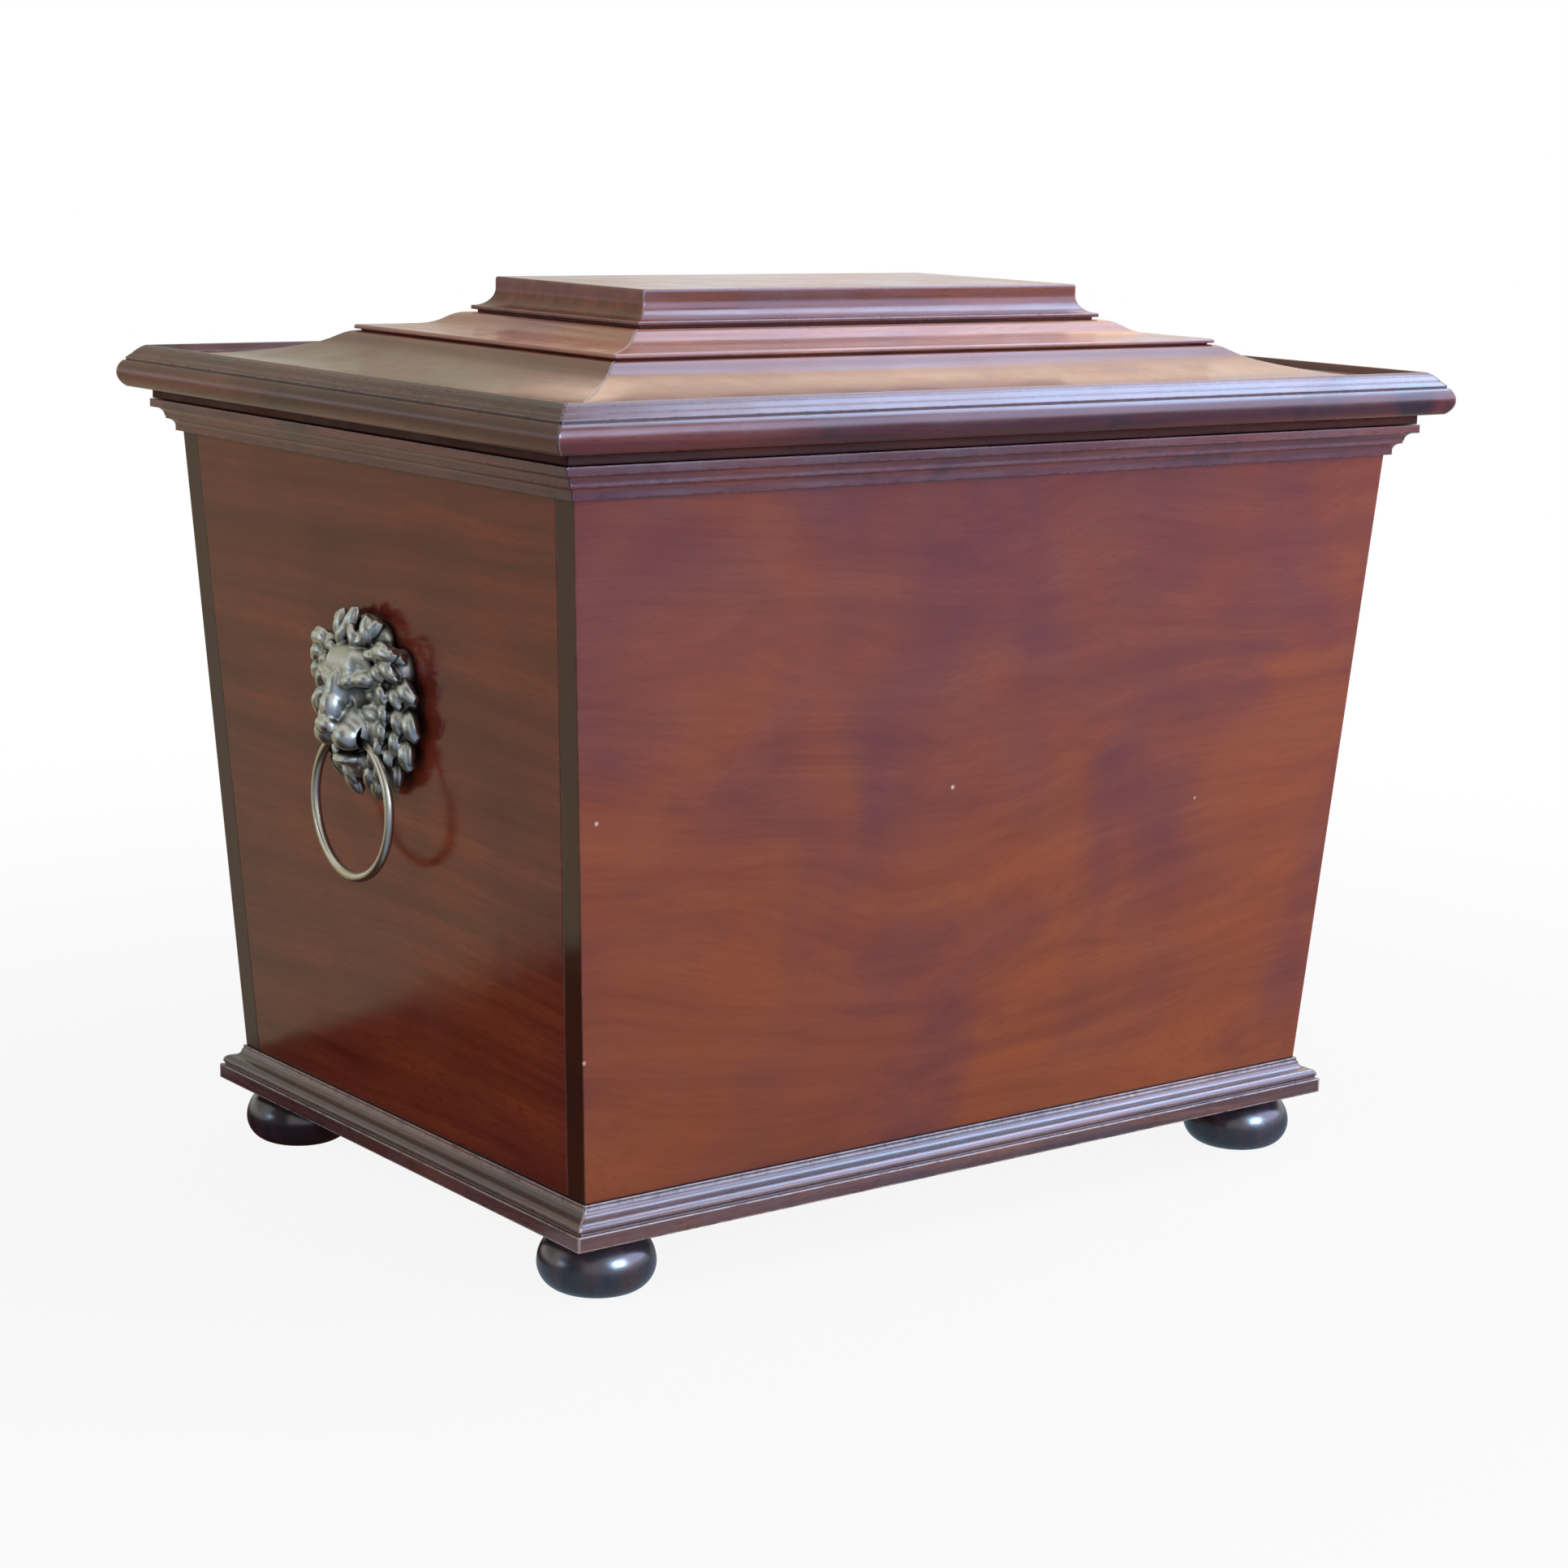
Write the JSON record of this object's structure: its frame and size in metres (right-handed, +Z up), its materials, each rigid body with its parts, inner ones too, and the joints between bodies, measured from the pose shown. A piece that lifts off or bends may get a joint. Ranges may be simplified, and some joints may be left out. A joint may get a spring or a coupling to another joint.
{
  "type": "cellarette",
  "caption": "Tapered mahogany wine chest on bun feet, with a stepped lid hinged at the back and a lion-mask ring handle on each end.",
  "frame": {"origin": "on the floor, under the middle of the case", "axes": "+Z up, the front faces -Y, the lid hinge runs along X at the back"},
  "size_m": [0.5714, 0.4224, 0.4704],
  "materials": {
    "mahogany_long_panel": "French-polished mahogany, warm red-orange",
    "mahogany_end_panel": "French-polished mahogany, darker",
    "mahogany_lid": "French-polished mahogany, high gloss",
    "mahogany_moulding": "French-polished mahogany, worn at the edges",
    "mahogany_base": "French-polished mahogany, worn at the edges",
    "mahogany_frame": "dark mahogany",
    "mahogany_foot": "turned mahogany, dark polish",
    "mahogany_inside": "planed mahogany, unpolished",
    "mahogany_divider": "planed mahogany, unpolished",
    "antique_brass": "cast brass, dark in the hollows",
    "worn_brass": "brass wire, rubbed bright",
    "hinge_brass": "milled brass",
    "brass_screw": "turned brass",
    "steel_fixing": "zinc-plated steel"
  },
  "bodies": {
    "case": {"back_panel": "mahogany_long_panel", "base_board": "mahogany_inside", "base_moulding_back": "mahogany_base", "base_moulding_front": "mahogany_base", "base_moulding_left": "mahogany_base", "base_moulding_right": "mahogany_base", "bun_foot_back_left": "mahogany_foot", "bun_foot_back_right": "mahogany_foot", "bun_foot_front_left": "mahogany_foot", "bun_foot_front_right": "mahogany_foot", "cornice_back": "mahogany_moulding", "cornice_front": "mahogany_moulding", "cornice_left": "mahogany_moulding", "cornice_right": "mahogany_moulding", "divider_cross_left": "mahogany_divider", "divider_cross_middle": "mahogany_divider", "divider_cross_right": "mahogany_divider", "divider_long_back": "mahogany_divider", "divider_long_front": "mahogany_divider", "front_panel": "mahogany_long_panel", "handle_nuts": "steel_fixing", "handle_washers": "steel_fixing", "hinge_leaf_case_left": "hinge_brass", "hinge_leaf_case_right": "hinge_brass", "hinge_pin_left": "hinge_brass", "hinge_pin_right": "hinge_brass", "hinge_screws_case": "brass_screw", "left_side_panel": "mahogany_end_panel", "mask_left": "antique_brass", "mask_right": "antique_brass", "right_side_panel": "mahogany_end_panel"},
    "lid": {"hinge_leaf_lid_left": "hinge_brass", "hinge_leaf_lid_right": "hinge_brass", "hinge_screws_lid": "brass_screw", "lid_field_back": "mahogany_lid", "lid_field_front": "mahogany_lid", "lid_field_left": "mahogany_lid", "lid_field_right": "mahogany_lid", "lid_frame_back": "mahogany_frame", "lid_frame_front": "mahogany_frame", "lid_frame_left": "mahogany_frame", "lid_frame_right": "mahogany_frame", "lid_lining": "mahogany_inside", "lid_rim_back": "mahogany_moulding", "lid_rim_front": "mahogany_moulding", "lid_rim_left": "mahogany_moulding", "lid_rim_right": "mahogany_moulding", "lid_step_back": "mahogany_lid", "lid_step_front": "mahogany_lid", "lid_step_left": "mahogany_lid", "lid_step_right": "mahogany_lid", "lid_top_block": "mahogany_lid"},
    "handle_ring_left": {"ring_left": "worn_brass"},
    "handle_ring_right": {"ring_right": "worn_brass"}
  },
  "joints": [
    {"name": "lid_hinge", "type": "hinge", "parent": "case", "child": "lid", "pos_m": [0, 0.2016, 0.40155], "axis": [-1, 0, 0], "range_deg": [0, 97]},
    {"name": "ring_left_swing", "type": "hinge", "parent": "case", "child": "handle_ring_left", "pos_m": [-0.26555, 0, 0.25197], "axis": [0, 1, 0], "range_deg": [-8, 130]},
    {"name": "ring_right_swing", "type": "hinge", "parent": "case", "child": "handle_ring_right", "pos_m": [0.26555, 0, 0.25197], "axis": [0, -1, 0], "range_deg": [-8, 130]}
  ]
}
